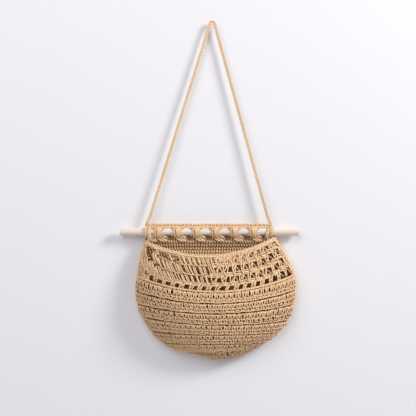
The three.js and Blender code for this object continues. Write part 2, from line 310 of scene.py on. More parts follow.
def row_length(row):
    """The length of a row of the front panel."""
    return float(np.interp(row, GRID_ROWS, GRID_LENGTHS[:, -1]))


def angle_at(share, row):
    """The angle at a share of a row's length."""
    share, row = np.broadcast_arrays(np.clip(share, 0, 1), np.clip(row, 0, BOTTOM_ROW))
    r = row / BOTTOM_ROW * (len(GRID_ROWS) - 1)
    s = share * (len(SHARES) - 1)
    ri = np.minimum(r.astype(int), len(GRID_ROWS) - 2)
    si = np.minimum(s.astype(int), len(SHARES) - 2)
    rf, sf = r - ri, s - si
    upper = ANGLE_TABLE[ri, si] * (1 - sf) + ANGLE_TABLE[ri, si + 1] * sf
    lower = ANGLE_TABLE[ri + 1, si] * (1 - sf) + ANGLE_TABLE[ri + 1, si + 1] * sf
    return upper * (1 - rf) + lower * rf


def front_face(angle, row, lift):
    """Points lifted off the front panel's outer face, and the outward directions there."""
    step = 0.01
    low = np.clip(angle - step, 0, math.pi)
    high = np.clip(angle + step, 0, math.pi)
    across = front_point(high, row) - front_point(low, row)
    down = front_point(angle, row + step) - front_point(angle, row - step)
    outwards = unit(np.cross(down, across))
    return front_point(angle, row) + outwards * lift[..., None], outwards


def open_angle(column):
    """The angle of an openwork column at the first groove, counted from the middle column."""
    column = np.asarray(column, float)
    return MIDDLE_COLUMN_ANGLE + COLUMN_STEP_ANGLE * column + COLUMN_SPREAD_ANGLE * column**3


# Yarn

RANDOM = np.random.default_rng(11)
FRONT = np.array([0.0, -1.0, 0.0])
# The numbers of the material slots that hold the yarn's colours: undyed, bleached, one all in
# painted shade, and three with the inside's painted shade.
UNDYED, BLEACHED, IN_SHADE, SHADED_INSIDE, SHADED_INSIDE_FAR_UP, SHADED_INSIDE_HIGH = range(6)


def loose(strands, amount):
    """One small random shift for each strand, as hand work has."""
    return RANDOM.normal(0, amount, (len(strands), 1))


class YarnWork:
    """Collects strands of yarn and makes one mesh of them."""

    def __init__(self):
        self.points = []
        self.quads = []
        self.caps = []
        self.quad_uv = []
        self.cap_uv = []
        self.quad_slots = []
        self.cap_slots = []
        self.count = 0

    def add(self, centres, outwards, radius, sides=6, slot=UNDYED):
        """Adds a tube, thin at its ends, round each line of centres: (strands, points, 3)."""
        centres = np.asarray(centres, float)
        if centres.ndim == 2:
            centres = centres[None]
        strands, count, _ = centres.shape
        outwards = np.broadcast_to(outwards, centres.shape)
        along = unit(np.gradient(centres, axis=1))
        across = unit(np.cross(along, outwards))
        upward = np.cross(across, along)
        girth = np.full(count, 1.0)
        girth[[1, -2]] = 0.9
        girth[[0, -1]] = 0.5
        turn = 2 * math.pi * np.arange(sides) / sides
        ring = (
            np.cos(turn)[None, None, :, None] * upward[:, :, None, :]
            + np.sin(turn)[None, None, :, None] * across[:, :, None, :]
        )
        size = (np.asarray(radius) * girth)[..., None, None]
        points = centres[:, :, None, :] + ring * size
        self.points.append(points.reshape(-1, 3))
        index = self.count + np.arange(strands * count * sides).reshape(strands, count, sides)
        self.count += index.size
        turned = np.roll(index, -1, axis=2)
        quads = np.stack([index[:, :-1], turned[:, :-1], turned[:, 1:], index[:, 1:]], axis=-1)
        self.quads.append(quads.reshape(-1, 4))
        far = lengths_along(centres)[:, :, None] * np.ones(sides)
        side = np.arange(sides) / sides * np.ones_like(far)
        corners = [
            (far[:, :-1], side[:, :-1]), (far[:, :-1], side[:, :-1] + 1 / sides),
            (far[:, 1:], side[:, 1:] + 1 / sides), (far[:, 1:], side[:, 1:]),
        ]
        uv = np.stack([np.stack(pair, axis=-1) for pair in corners], axis=-2)
        self.quad_uv.append(uv.reshape(-1, 2))
        self.quad_slots.append(np.full(quads.shape[0] * quads.shape[1] * sides, slot))
        caps = np.concatenate([index[:, 0, ::-1], index[:, -1]])
        self.caps.extend(caps.tolist())
        self.cap_uv.append(np.zeros((caps.size, 2)))
        self.cap_slots.append(np.full(len(caps), slot))

    def add_sheet(self, points, slot):
        """Adds a plain skin over a grid of points, whose shape is (rows, columns, 3)."""
        rows, columns, _ = points.shape
        index = self.count + np.arange(rows * columns).reshape(rows, columns)
        self.points.append(points.reshape(-1, 3))
        self.count += index.size
        quads = np.stack([index[:-1, :-1], index[1:, :-1], index[1:, 1:], index[:-1, 1:]], axis=-1)
        self.quads.append(quads.reshape(-1, 4))
        self.quad_uv.append(np.zeros((quads.size, 2)))
        self.quad_slots.append(np.full(quads.size // 4, slot))

    def piece(self, name, materials):
        """Makes the mesh object, with the way along and round each strand as its UV."""
        mesh = bpy.data.meshes.new(name)
        points = np.concatenate(self.points)
        quads = np.concatenate(self.quads)
        cap_sizes = np.array([len(cap) for cap in self.caps], int)
        cap_corners = np.array([corner for cap in self.caps for corner in cap], int)
        corners = np.concatenate([quads.ravel(), cap_corners])
        starts = np.concatenate(
            [np.arange(len(quads)) * 4, quads.size + np.cumsum(cap_sizes) - cap_sizes]
        )
        mesh.vertices.add(len(points))
        mesh.vertices.foreach_set("co", points.ravel())
        mesh.loops.add(len(corners))
        mesh.loops.foreach_set("vertex_index", corners)
        mesh.polygons.add(len(starts))
        mesh.polygons.foreach_set("loop_start", starts)
        mesh.update(calc_edges=True)
        mesh.validate()
        uv = mesh.uv_layers.new(name="along_yarn")
        uv.data.foreach_set("uv", np.concatenate(self.quad_uv + self.cap_uv).ravel())
        slots = np.concatenate(self.quad_slots + self.cap_slots)
        mesh.polygons.foreach_set("material_index", slots.astype(np.int32))
        mesh.shade_smooth()
        for material in materials:
            mesh.materials.append(material)
        made = bpy.data.objects.new(name, mesh)
        bpy.context.scene.collection.objects.link(made)
        return made


# One chain stitch: two sides that rise from under the stitch before, swell and close under the
# next one, and the bump behind them. Each point is [along in stitches, across, out], the last two
# in shares of the room that the yarn leaves in half the chain's width.
CHAIN_SIDE = [
    (-0.42, 0.05, -0.6), (-0.1, 0.5, 0.0), (0.3, 1.0, 0.45), (0.75, 0.85, 0.55), (1.1, 0.3, 0.1),
    (1.3, 0.0, -0.7),
]
CHAIN_BUMP = [
    (-0.3, 0.35, -0.7), (0.1, -0.2, -1.0), (0.5, -0.45, -1.0), (0.9, -0.1, -0.9), (1.3, 0.35, -0.5),
]
PLACES_PER_STITCH = 16


def add_chain(work, route, outwards, width, stitch, yarn, slot=UNDYED, flat=1.0, sides=5):
    """Adds a row of chain stitches along a route.

    outwards points to the side that shows, and flat is the chain's thickness for its width.
    """
    links = max(2, round(lengths_along(route)[-1] / stitch))
    known = np.linspace(0, links, links * PLACES_PER_STITCH + 1)
    line = spaced(route, len(known))
    facing = np.broadcast_to(outwards, np.shape(route))
    facing = looked_up(known / links, np.linspace(0, 1, len(facing)), facing)
    along = unit(np.gradient(line, axis=0))
    across = unit(np.cross(along, facing))
    out = np.cross(across, along)
    room = (width - yarn) / 2
    for shape, side in ((CHAIN_SIDE, 1), (CHAIN_SIDE, -1), (CHAIN_BUMP, 1)):
        local = smooth(shape, 9)
        spots = np.clip(np.arange(links)[:, None] + local[None, :, 0], 0, links)
        off = looked_up(spots, known, out)
        centres = (
            looked_up(spots, known, line)
            + looked_up(spots, known, across) * (side * local[:, 1] * room)[:, None]
            + off * (local[:, 2] * room * flat)[:, None]
        )
        work.add(centres, off, yarn / 2, sides, slot)


# Materials


def add_node(tree, kind, values=None, links=None, **settings):
    """Adds a node, sets its settings and input values, and links inputs to other sockets."""
    node = tree.nodes.new(kind)
    for name, value in settings.items():
        setattr(node, name, value)
    for name, value in (values or {}).items():
        node.inputs[name].default_value = value
    for name, socket in (links or {}).items():
        tree.links.new(socket, node.inputs[name])
    return node


def new_material(name):
    """A node material with an output and nothing else."""
    material = bpy.data.materials.new(name)
    material.use_nodes = True
    material.node_tree.nodes.clear()
    return material, material.node_tree


def with_alpha(colour):
    """A colour socket's four numbers."""
    return (*colour, 1.0)


def scaled(colour, share):
    """A colour made darker or lighter by a share."""
    return tuple(min(1.0, c * share) for c in colour)


def mixed(colour, other, share):
    """A colour between two others."""
    return tuple(a + (b - a) * share for a, b in zip(colour, other))


def cotton_yarn(name, colour, painted_shade):
    """Cotton, spun, plied and crocheted: matt, with a faint sheen of fibre ends.

    It is painted darker between its plies and down a strand's flanks, where little light comes:
    this is painted shade. The plies are 4 mm apart along the strand, about twice the real twist,
    and the fibres' fuzz is 1.1 mm wide, far coarser than the real one, so that both show. The tone
    drifts over 40 mm, as that of undyed cotton does.
    """
    ply_step = 4 * MM
    fuzz_step = MM / 0.9
    drift_step = 40 * MM
    material, tree = new_material(name)
    place = add_node(tree, "ShaderNodeTexCoord")
    uv = add_node(tree, "ShaderNodeSeparateXYZ", links={"Vector": place.outputs["UV"]})
    plies = add_node(
        tree, "ShaderNodeMath", {1: 1 / ply_step}, {0: uv.outputs["X"]}, operation="MULTIPLY"
    )
    twist = add_node(
        tree, "ShaderNodeMath", links={0: plies.outputs[0], 1: uv.outputs["Y"]}, operation="ADD"
    )
    turn = add_node(
        tree, "ShaderNodeMath", {1: 2 * math.pi}, {0: twist.outputs[0]}, operation="MULTIPLY"
    )
    wave = add_node(tree, "ShaderNodeMath", links={0: turn.outputs[0]}, operation="COSINE")
    ridge = add_node(
        tree, "ShaderNodeMapRange", {"From Min": -1.0, "From Max": 1.0}, {"Value": wave.outputs[0]}
    )
    drift = add_node(
        tree, "ShaderNodeTexNoise", {"Scale": 1 / drift_step, "Detail": 2.0},
        {"Vector": place.outputs["Object"]},
    )
    fuzz = add_node(
        tree, "ShaderNodeTexNoise", {"Scale": 1 / fuzz_step, "Detail": 2.0},
        {"Vector": place.outputs["Object"]},
    )
    base = add_node(
        tree, "ShaderNodeMix",
        {"A": with_alpha(scaled(colour, 0.86)), "B": with_alpha(scaled(colour, 1.08))},
        {"Factor": drift.outputs["Fac"]}, data_type="RGBA",
    )
    groove = add_node(
        tree, "ShaderNodeMapRange",
        {"From Min": 0.0, "From Max": 0.45, "To Min": 0.4, "To Max": 0.0},
        {"Value": ridge.outputs[0]},
    )
    around = add_node(
        tree, "ShaderNodeMath", {1: 2 * math.pi}, {0: uv.outputs["Y"]}, operation="MULTIPLY"
    )
    outward = add_node(tree, "ShaderNodeMath", links={0: around.outputs[0]}, operation="COSINE")
    faced = add_node(tree, "ShaderNodeMath", links={0: outward.outputs[0]}, operation="ABSOLUTE")
    # Painted shade: a strand's crest and back stay light, and its flanks are painted darker from 49
    # to 81 degrees off them.
    flank = add_node(
        tree, "ShaderNodeMapRange",
        {"From Min": 0.66, "From Max": 0.16, "To Min": 0.0, "To Max": 0.96},
        {"Value": faced.outputs[0]},
    )
    # How much painted shade: the darker of the plies' and the flanks' painted shade.
    depth = add_node(
        tree, "ShaderNodeMath", links={0: groove.outputs[0], 1: flank.outputs[0]}, operation="MAXIMUM"
    )
    shaded = add_node(
        tree, "ShaderNodeMix", {"B": with_alpha(painted_shade)},
        {"Factor": depth.outputs[0], "A": base.outputs["Result"]}, data_type="RGBA",
    )
    height = add_node(
        tree, "ShaderNodeMath", {1: 0.25}, {0: fuzz.outputs["Fac"], 2: ridge.outputs[0]},
        operation="MULTIPLY_ADD",
    )
    bump = add_node(
        tree, "ShaderNodeBump", {"Strength": 0.8, "Distance": 0.4 * MM},
        {"Height": height.outputs[0]},
    )
    shader = add_node(
        tree, "ShaderNodeBsdfPrincipled",
        {"Roughness": 0.65, "Specular IOR Level": 0.2, "Sheen Weight": 0.04, "Sheen Roughness": 0.5},
        {"Base Color": shaded.outputs["Result"], "Normal": bump.outputs[0]},
    )
    add_node(tree, "ShaderNodeOutputMaterial", links={"Surface": shader.outputs[0]})
    return material


def sanded_dowel_wood(settings):
    """Birch, turned and sanded: pale, with fine grain along the stick, and no varnish.

    The grain's streaks are 1.25 mm wide and 125 mm long.
    """
    across = 1 / (1.25 * MM)
    along = 1 / (125 * MM)
    material, tree = new_material("birch_dowel_sanded")
    place = add_node(tree, "ShaderNodeTexCoord")
    stretched = add_node(
        tree, "ShaderNodeMapping", {"Scale": (along, across, across)},
        {"Vector": place.outputs["Object"]},
    )
    grain = add_node(
        tree, "ShaderNodeTexNoise", {"Scale": 1.0, "Detail": 4.0, "Distortion": 0.4},
        {"Vector": stretched.outputs[0]},
    )
    spread = add_node(
        tree, "ShaderNodeMapRange", {"From Min": 0.35, "From Max": 0.7},
        {"Value": grain.outputs["Fac"]},
    )
    colour = add_node(
        tree, "ShaderNodeMix",
        {"A": with_alpha(settings.colour), "B": with_alpha(settings.grain_colour)},
        {"Factor": spread.outputs[0]}, data_type="RGBA",
    )
    bump = add_node(
        tree, "ShaderNodeBump", {"Strength": 0.2, "Distance": 0.05 * MM},
        {"Height": grain.outputs["Fac"]},
    )
    shader = add_node(
        tree, "ShaderNodeBsdfPrincipled", {"Roughness": 0.55, "Specular IOR Level": 0.4},
        {"Base Color": colour.outputs["Result"], "Normal": bump.outputs[0]},
    )
    add_node(tree, "ShaderNodeOutputMaterial", links={"Surface": shader.outputs[0]})
    return material


def wall_paint(name, colour, one_sided):
    """Emulsion paint, rolled on plaster: matt and even, with a faint roller texture, 2.5 mm wide.

    One-sided paint doesn't show from behind.
    """
    roller_step = 2.5 * MM
    material, tree = new_material(name)
    place = add_node(tree, "ShaderNodeTexCoord")
    roller = add_node(
        tree, "ShaderNodeTexNoise", {"Scale": 1 / roller_step, "Detail": 3.0},
        {"Vector": place.outputs["Object"]},
    )
    bump = add_node(
        tree, "ShaderNodeBump", {"Strength": 0.05, "Distance": 0.1 * MM},
        {"Height": roller.outputs["Fac"]},
    )
    shader = add_node(
        tree, "ShaderNodeBsdfPrincipled",
        {"Base Color": with_alpha(colour), "Roughness": 0.9, "Specular IOR Level": 0.1},
        {"Normal": bump.outputs[0]},
    )
    surface = shader.outputs[0]
    if one_sided:
        side = add_node(tree, "ShaderNodeNewGeometry")
        clear = add_node(tree, "ShaderNodeBsdfTransparent")
        mix = add_node(
            tree, "ShaderNodeMixShader",
            links={"Fac": side.outputs["Backfacing"], 1: surface, 2: clear.outputs[0]},
        )
        surface = mix.outputs[0]
    add_node(tree, "ShaderNodeOutputMaterial", links={"Surface": surface})
    return material


def yarn_materials(settings):
    """The cotton yarn's materials, made once, in slot order, the last four with painted shade."""
    # Painted shade: a darker copy of the flanks' colour, for the skin behind the close bands.
    shade = scaled(settings.painted_shade_colour, 0.4)
    pairs = {
        "cotton_yarn_undyed": (settings.colour, settings.painted_shade_colour),
        "cotton_yarn_bleached": (settings.pale_colour, settings.painted_shade_colour),
        "cotton_yarn_in_shade": (shade, shade),
    }
    # The inside's painted shade, in three steps from the yarn's colour to the inside's shade colour.
    for name, share in (("inside", 1), ("inside_far_up", 1 / 3), ("inside_high", 2 / 3)):
        pairs[f"cotton_yarn_{name}"] = (
            mixed(settings.colour, settings.inside_shade_colour, share),
            mixed(settings.painted_shade_colour, scaled(settings.inside_shade_colour, 0.5), share),
        )
    return [bpy.data.materials.get(name) or cotton_yarn(name, *pairs[name]) for name in pairs]


# The pieces


def cord_leg(eye_x, foot_x, top_x):
    """One leg of the cord's route in millimetres, from its eye up to the bend."""
    foot = np.array([foot_x, DOWEL_Y_MM, CORD_FOOT_Z_MM])
    top = np.array([top_x, 0.0, BEND_Z_MM])
    leg = [foot + (top - foot) * k / 24 for k in range(24)]
    return [np.array([eye_x, DOWEL_Y_MM, EYE_TOP_Z_MM]), *leg]


def cord_route():
    """The hanging cord's centreline, from the left eye over the hook seat to the right eye."""
    left = cord_leg(LEFT_EYE_X_MM, LEFT_EYE_X_MM + LEFT_FOOT_INSET_MM, -BIGHT_HALF_WIDTH_MM)
    right = cord_leg(RIGHT_EYE_X_MM, RIGHT_EYE_X_MM - RIGHT_FOOT_INSET_MM, BIGHT_HALF_WIDTH_MM)
    turns = np.linspace(math.pi, 0, 13)
    bend = np.stack([np.cos(turns), 0 * turns, np.sin(turns)], axis=-1) * BIGHT_HALF_WIDTH_MM
    bend = bend + np.array([0, 0, BEND_Z_MM])
    line = smooth([*left, *bend, *right[::-1]], count=1200, power=0.5)
    return spaced(line, CORD_ROUTE_POINTS) * MM


def round_dowel(x, turn, radius):
    """Points round the dowel at x, and the directions off it; turn goes from its top forwards."""
    out = np.stack([0 * turn, -np.sin(turn), np.cos(turn)], axis=-1)
    centre = np.array([x, DOWEL_Y_MM * MM, -HOOK_TO_DOWEL_MM * MM])
    return centre + out * radius, out


CORD_WIDTH_MM = 5.9
CORD_STITCH_MM = 6.2
CORD_YARN_MM = 2.5
CORD_CORE_RADIUS_MM = 1.3


def add_cord(work, route, outwards, width):
    """Adds the cord's chain stitches, and a core that fills them."""
    stitch, yarn = CORD_STITCH_MM * MM, CORD_YARN_MM * MM
    add_chain(work, route, outwards, width, stitch, yarn, slot=BLEACHED)
    work.add(route, outwards, CORD_CORE_RADIUS_MM * MM, sides=5, slot=BLEACHED)


class WALLPOCKET_OT_hanging_cord(bpy.types.Operator):
    """Make the crocheted hanging cord and the eyes at its ends"""

    bl_idname = "wall_pocket.hanging_cord"
    bl_label = "Hanging cord"

    def execute(self, context):
        settings = context.scene.wall_pocket_yarn
        materials = yarn_materials(settings)
        route = cord_route()
        width = CORD_WIDTH_MM * MM
        work = YarnWork()
        add_cord(work, route, FRONT, width)
        cord = work.piece("hanging_cord_chain", materials)
        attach(cord, "hanger")
        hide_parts("hanging_cord")
        full_turn = np.linspace(0, 2 * math.pi, 49)
        for name, x in (("left_cord_eye", LEFT_EYE_X_MM), ("right_cord_eye", RIGHT_EYE_X_MM)):
            work = YarnWork()
            ring, out = round_dowel(x * MM, full_turn, BORE_RADIUS_MM * MM + width / 2)
            add_cord(work, ring, out, width)
            eye = work.piece(f"{name}_chain", materials)
            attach(eye, "hanger")
            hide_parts(name)
        return {"FINISHED"}


class WALLPOCKET_OT_dowel(bpy.types.Operator):
    """Finish the dowel in sanded wood"""

    bl_idname = "wall_pocket.dowel"
    bl_label = "Dowel"

    def execute(self, context):
        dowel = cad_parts["dowel"]
        dowel.data.materials.clear()
        dowel.data.materials.append(sanded_dowel_wood(context.scene.wall_pocket_dowel))
        return {"FINISHED"}


LOOPS = 8
# The strands of a middle loop and of an end loop, as [x at the top, x at the foot, out], in
# millimetres from the loop's middle and from the dowel's clearance.
LOOP_STRANDS_MM = [
    (-4.8, -4.8, 1.6), (-3.6, 2.4, 3.2), (1.6, -3.2, 1.8), (3.8, -1.0, 1.6), (5.4, 1.8, 2.2),
]
END_LOOP_STRANDS_MM = [(-0.4, -2.0, 1.5), (2.2, 0.6, 1.5)]
# The strands that round the corners of the gaps beside a middle loop: x from the loop's middle in
# millimetres, and degrees from the dowel's top over its front.
GAP_CORNERS = [
    [(13.0, 26), (9.6, 36), (7.0, 50), (4.9, 70)],
    [(3.2, 98), (4.8, 114), (7.8, 127), (12.5, 136)],
    [(-11.8, 24), (-9.0, 34), (-6.8, 50), (-5.2, 72)],
    [(-4.8, 100), (-6.0, 116), (-8.6, 129), (-12, 138)],
]
GAP_CORNERS_OUT_MM = 1.6
# The strands from the end loops down to the rim's corners: x, y and z, in millimetres.
CORNER_STRANDS_MM = {
    1: [
        [
            (-123.9, -15.5, -409), (-123.9, -14.8, -415), (-124.2, -13, -422),
            (-126.5, -9.5, -427.5), (-130, -5, -433),
        ],
        [
            (-120.6, -15.4, -409), (-120.8, -14.7, -415), (-121.5, -12.5, -422),
            (-123.5, -9, -428.5), (-127, -5, -435),
        ],
    ],
    LOOPS: [
        [
            (110.2, -15.5, -409), (110.2, -14.8, -415), (110.6, -12.5, -421), (113, -9, -427),
            (119, -6, -428.5), (124, -4, -427.5),
        ],
        [
            (107, -15.4, -409), (106.8, -14.7, -415), (107.4, -12, -422), (111, -8.5, -430),
            (118, -6, -432), (124, -4, -431),
        ],
    ],
}
# The yarn's radius in the loops and in the gaps' corners, in thicknesses of a strand.
LOOP_YARN_RADIUS = 0.6
CORNER_YARN_RADIUS = 0.55
# The radius of the strands from the loops down into the panels.
POST_RADIUS_MM = 1.9
# An arch's chain: its width, the height of its feet's middle, and how far it reaches into the
# loops beside it.
ARCH_WIDTH_MM = 8.6
ARCH_FOOT_MM = 4.1
ARCH_REACH_MM = 6
ARCH_ROUNDNESS = 1.5


class WALLPOCKET_OT_dowel_loops(bpy.types.Operator):
    """Make the crocheted loops round the dowel and the chain arches between them"""

    bl_idname = "wall_pocket.dowel_loops"
    bl_label = "Dowel loops"

    def execute(self, context):
        settings = context.scene.wall_pocket_yarn
        materials = yarn_materials(settings)
        full_turn = np.linspace(0, 2 * math.pi, 41)
        for number in range(1, LOOPS + 1):
            name = f"dowel_loop_{number}"
            low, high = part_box(name)
            middle = (low.x + high.x) / 2
            at_end = number in CORNER_STRANDS_MM
            work = YarnWork()
            for top, foot, off in END_LOOP_STRANDS_MM if at_end else LOOP_STRANDS_MM:
                ring, out = round_dowel(middle, full_turn, (BORE_RADIUS_MM + off) * MM)
                ring[:, 0] += ((top + foot) / 2 + (top - foot) / 2 * out[:, 2]) * MM
                work.add(ring, out, LOOP_YARN_RADIUS * settings.thickness)
            for corner in [] if at_end else GAP_CORNERS:
                x, degrees = smooth(corner, 12).T
                radius = (BORE_RADIUS_MM + GAP_CORNERS_OUT_MM) * MM
                line, out = round_dowel(middle, np.radians(degrees), radius)
                line[:, 0] += x * MM
                work.add(line, out, CORNER_YARN_RADIUS * settings.thickness)
            for strand in CORNER_STRANDS_MM.get(number, []):
                work.add(smooth(strand, 16) * MM, FRONT, POST_RADIUS_MM * MM)
            loop = work.piece(f"{name}_strands", materials)
            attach(loop, "pocket")
            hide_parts(name)
        for number in range(1, LOOPS):
            name = f"top_arch_{number}"
            low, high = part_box(name)
            x = np.linspace(low.x - ARCH_REACH_MM * MM, high.x + ARCH_REACH_MM * MM, 33)
            share = np.clip((x - low.x) / (high.x - low.x), 0, 1)
            rise = high.z - low.z - ARCH_WIDTH_MM * MM
            z = low.z + ARCH_FOOT_MM * MM + rise * np.sin(math.pi * share) ** ARCH_ROUNDNESS
            route = np.stack([x, np.full_like(x, (low.y + high.y) / 2), z], axis=-1)
            work = YarnWork()
            up_and_out = FRONT + np.array([0.0, 0.0, 0.2])
            width = ARCH_WIDTH_MM * MM
            add_chain(work, route, up_and_out, width, stitch=7.5 * MM, yarn=3.3 * MM)
            work.add(route, FRONT, radius=1.3 * MM, sides=5)
            arch = work.piece(f"{name}_chain", materials)
            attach(arch, "pocket")
            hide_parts(name)
        return {"FINISHED"}


def outline_at(z):
    """The pocket's left and right x at a height."""
    return tuple(np.interp(-z, -side[:, 1], side[:, 0]) for side in (LEFT_SIDE, RIGHT_SIDE))


RIM = front_point(np.linspace(0, math.pi, 61), np.zeros(61))
# The back panel's top comes forward under the dowel it hangs from, in millimetres.
BEND_FOOT_Z_MM = -446
BEND_HEIGHT_MM = 18
BEND_FORWARD_MM = 8
BACK_YARN_MM = 3.5
# The panel keeps this far inside the outline, and its skin a little less.
BACK_INSET_MM = 3
BACK_SKIN_INSET_MM = 2
# Its first row begins this far under the solid's top, and its skin this far above it.
FIRST_ROW_DROP_MM = 6
BACK_SKIN_RISE_MM = 4
# Legs of the back panel's stitches further than this under the rim show only through the holes.
# There they are painted with the inside's shade, browner downwards in three steps of this height.
HIDDEN_UNDER_RIM_MM = 9
SHADE_STEP_MM = 7
# The back's stitches are this much wider than the front's.
BACK_STITCH_SHARE = 1.05
# Each row starts this far along from the row above, in stitches, or half a stitch less than that.
ROW_SHIFT = 0.35
# One stitch of the back panel, as [shape, points, side, whether it takes the inside's painted
# shade]: two legs and a bar towards the front, and a bump and a foot on the wrong side, where side
# is 1. Each point is [stitches along, rows down, millimetres off the panel's middle].
BACK_LEG = [
    (0.14, -0.06, -0.9), (0.19, 0.14, 1.9), (0.25, 0.45, 2.8), (0.33, 0.74, 1.9),
    (0.38, 0.94, -0.9),
]
BACK_STITCH = [
    (BACK_LEG, 7, -1, True),
    ([(s + 0.48, t, w) for s, t, w in BACK_LEG], 7, -1, True),
    ([(-0.1, 0, -1.2), (0.25, -0.04, -1.0), (0.7, -0.03, -1.0), (1.15, 0.02, -1.2)], 6, -1, False),
    ([(-0.15, 0.35, 0.4), (0.25, 0.22, 1.5), (0.7, 0.25, 1.5), (1.1, 0.45, 0.4)], 6, 1, False),
    ([(0.3, 0.5, 0.3), (0.42, 0.75, 1.2), (0.52, 1.1, 0.3)], 5, 1, False),
]


def bent_forward(points):
    """Points of the back panel with its top bent forward."""
    share = np.clip((points[..., 2] / MM - BEND_FOOT_Z_MM) / BEND_HEIGHT_MM, 0, 1)
    points[..., 1] -= BEND_FORWARD_MM * MM * share**2 * (3 - 2 * share)
    return points


def back_rows(top, foot, settings):
    """The back panel's rows from the top down, as (z, left x, width, stitches, shift)."""
    rows = []
    z = top - FIRST_ROW_DROP_MM * MM
    shift = 0.0
    while z - settings.back_row > foot:
        left, right = outline_at(z - settings.back_row / 2)
        if z > LEFT_SIDE[0, 1]:
            left = max(left, LEFT_SIDE[0, 0])
        left = left + BACK_INSET_MM * MM
        width = right - BACK_INSET_MM * MM - left
        stitches = max(2, round(width / (BACK_STITCH_SHARE * settings.stitch_width)))
        rows.append((z, left, width, stitches, shift))
        shift = (shift + ROW_SHIFT) % 1.0 - 0.5 * (shift > 0.5)
        z -= settings.back_row
    return rows


def add_back_strands(work, shape, count, side, takes_inside_shade, rows, height):
    """Adds one strand shape to each stitch of the rows, with fewer points where it's hidden."""
    facing = np.array([0.0, side, 0.0])
    for z, left, width, stitches, shift in rows:
        first = np.arange(stitches) + shift
        middle = left + width * (first + 0.5) / stitches
        under = np.interp(middle, RIM[:, 0], RIM[:, 2]) - z + height / 2
        depth = (under - HIDDEN_UNDER_RIM_MM * MM) / (SHADE_STEP_MM * MM)
        step = np.clip((depth + 1).astype(int), 0, 3)
        # Stitches deeper under the rim take more of the inside's painted shade.
        for level, slot in enumerate((UNDYED, SHADED_INSIDE_FAR_UP, SHADED_INSIDE_HIGH, SHADED_INSIDE)):
            chosen = first[step == level]
            if not len(chosen):
                continue
            points, sides = (count, 5) if level == 0 else (count - 2, 4)
            along, down, off = smooth(shape, points).T
            s = np.clip(chosen[:, None] + along, 0.02, stitches - 0.02)
            spots = np.broadcast_arrays(
                left + width * s / stitches, (BACK_MIDDLE_Y_MM + side * off) * MM, z - height * down
            )
            centres = bent_forward(np.stack(spots, axis=-1))
            work.add(centres, facing, BACK_YARN_MM * MM / 2, sides, slot if takes_inside_shade else UNDYED)


# The strands of a post's foot: x from the loop's middle, y and z, in millimetres. Three run down
# into the panel, three lie round a small hole to the right of the post, and the last three cross
# in the shade between two feet. The foot at the left end has all but the first strand, and that
# at the right end has the first alone.
POST_FOOT_MM = [
    [
        (-4.2, -14.4, -415.5), (-4.8, -11.6, -420), (-5.8, -5, -426), (-6.5, -1, -431),
        (-6.5, 1.5, -434),
    ],
    [
        (-0.5, -14.4, -415.5), (-0.8, -11.6, -420), (-1.0, -6, -426), (-1.2, -1.5, -431),
        (-1.2, 1.5, -434),
    ],
    [(3.2, -14.4, -415.5), (4.0, -11.6, -420), (5.0, -9, -424), (5.0, -6, -429), (4.5, -1, -434)],
    [
        (1.0, -14.2, -416), (5.0, -11.6, -419), (10, -9.8, -419.9), (15, -8, -420.8),
        (18.5, -5.5, -423), (19, -1, -429),
    ],
    [
        (-2.0, -9.0, -422), (2.0, -9.5, -425.5), (7.0, -8.5, -428.3), (12.5, -8, -428.6),
        (17, -6, -427), (19.5, -2, -424),
    ],
    [
        (14.6, -8.5, -423.2), (12.9, -9.5, -420.6), (9.5, -9.5, -420.8), (7.8, -9, -423.2),
        (9.6, -9, -425.8), (13.2, -9, -425.6), (14.6, -8, -423.4),
    ],
    [(19.0, -2.0, -419.5), (23.0, 0.5, -423.5), (27.0, 1.0, -430)],
    [(27.0, -3.0, -418.5), (24.5, 0.5, -423.5), (21.0, 1.0, -430)],
    [(28.0, -1.0, -419.5), (30.5, 0.5, -424.5), (32.5, 1.0, -430)],
]
END_FEET_MM = {1: POST_FOOT_MM[1:], LOOPS: POST_FOOT_MM[:1]}


class WALLPOCKET_OT_back_panel(bpy.types.Operator):
    """Make the back panel, row by row, with the posts' feet along its top"""

    bl_idname = "wall_pocket.back_panel"
    bl_label = "Back panel"

    def execute(self, context):
        settings = context.scene.wall_pocket_yarn
        materials = yarn_materials(settings)
        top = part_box("back_panel")[1].z
        foot = LEFT_SIDE[-1, 1]
        work = YarnWork()
        rows = back_rows(top, foot, settings)
        for shape, count, side, takes_inside_shade in BACK_STITCH:
            add_back_strands(work, shape, count, side, takes_inside_shade, rows, settings.back_row)
        z = np.linspace(top + BACK_SKIN_RISE_MM * MM, foot, 60)
        left, right = outline_at(z)
        inset = BACK_SKIN_INSET_MM * MM
        x = np.linspace(left + inset, right - inset, 40, axis=1)
        skin = np.stack(np.broadcast_arrays(x, BACK_MIDDLE_Y_MM * MM, z[:, None]), axis=-1)
        # The back panel's skin is painted in the inside's shade.
        work.add_sheet(bent_forward(skin), SHADED_INSIDE)
        for number in range(1, LOOPS + 1):
            low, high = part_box(f"dowel_loop_{number}")
            middle = (low.x + high.x) / 2
            for strand in END_FEET_MM.get(number, POST_FOOT_MM):
                line = smooth(strand, 12) * MM
                line[:, 0] += middle
                work.add(line, FRONT, POST_RADIUS_MM * MM)
        panel = work.piece("back_panel_stitches", materials)
        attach(panel, "pocket")
        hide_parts("back_panel")
        return {"FINISHED"}


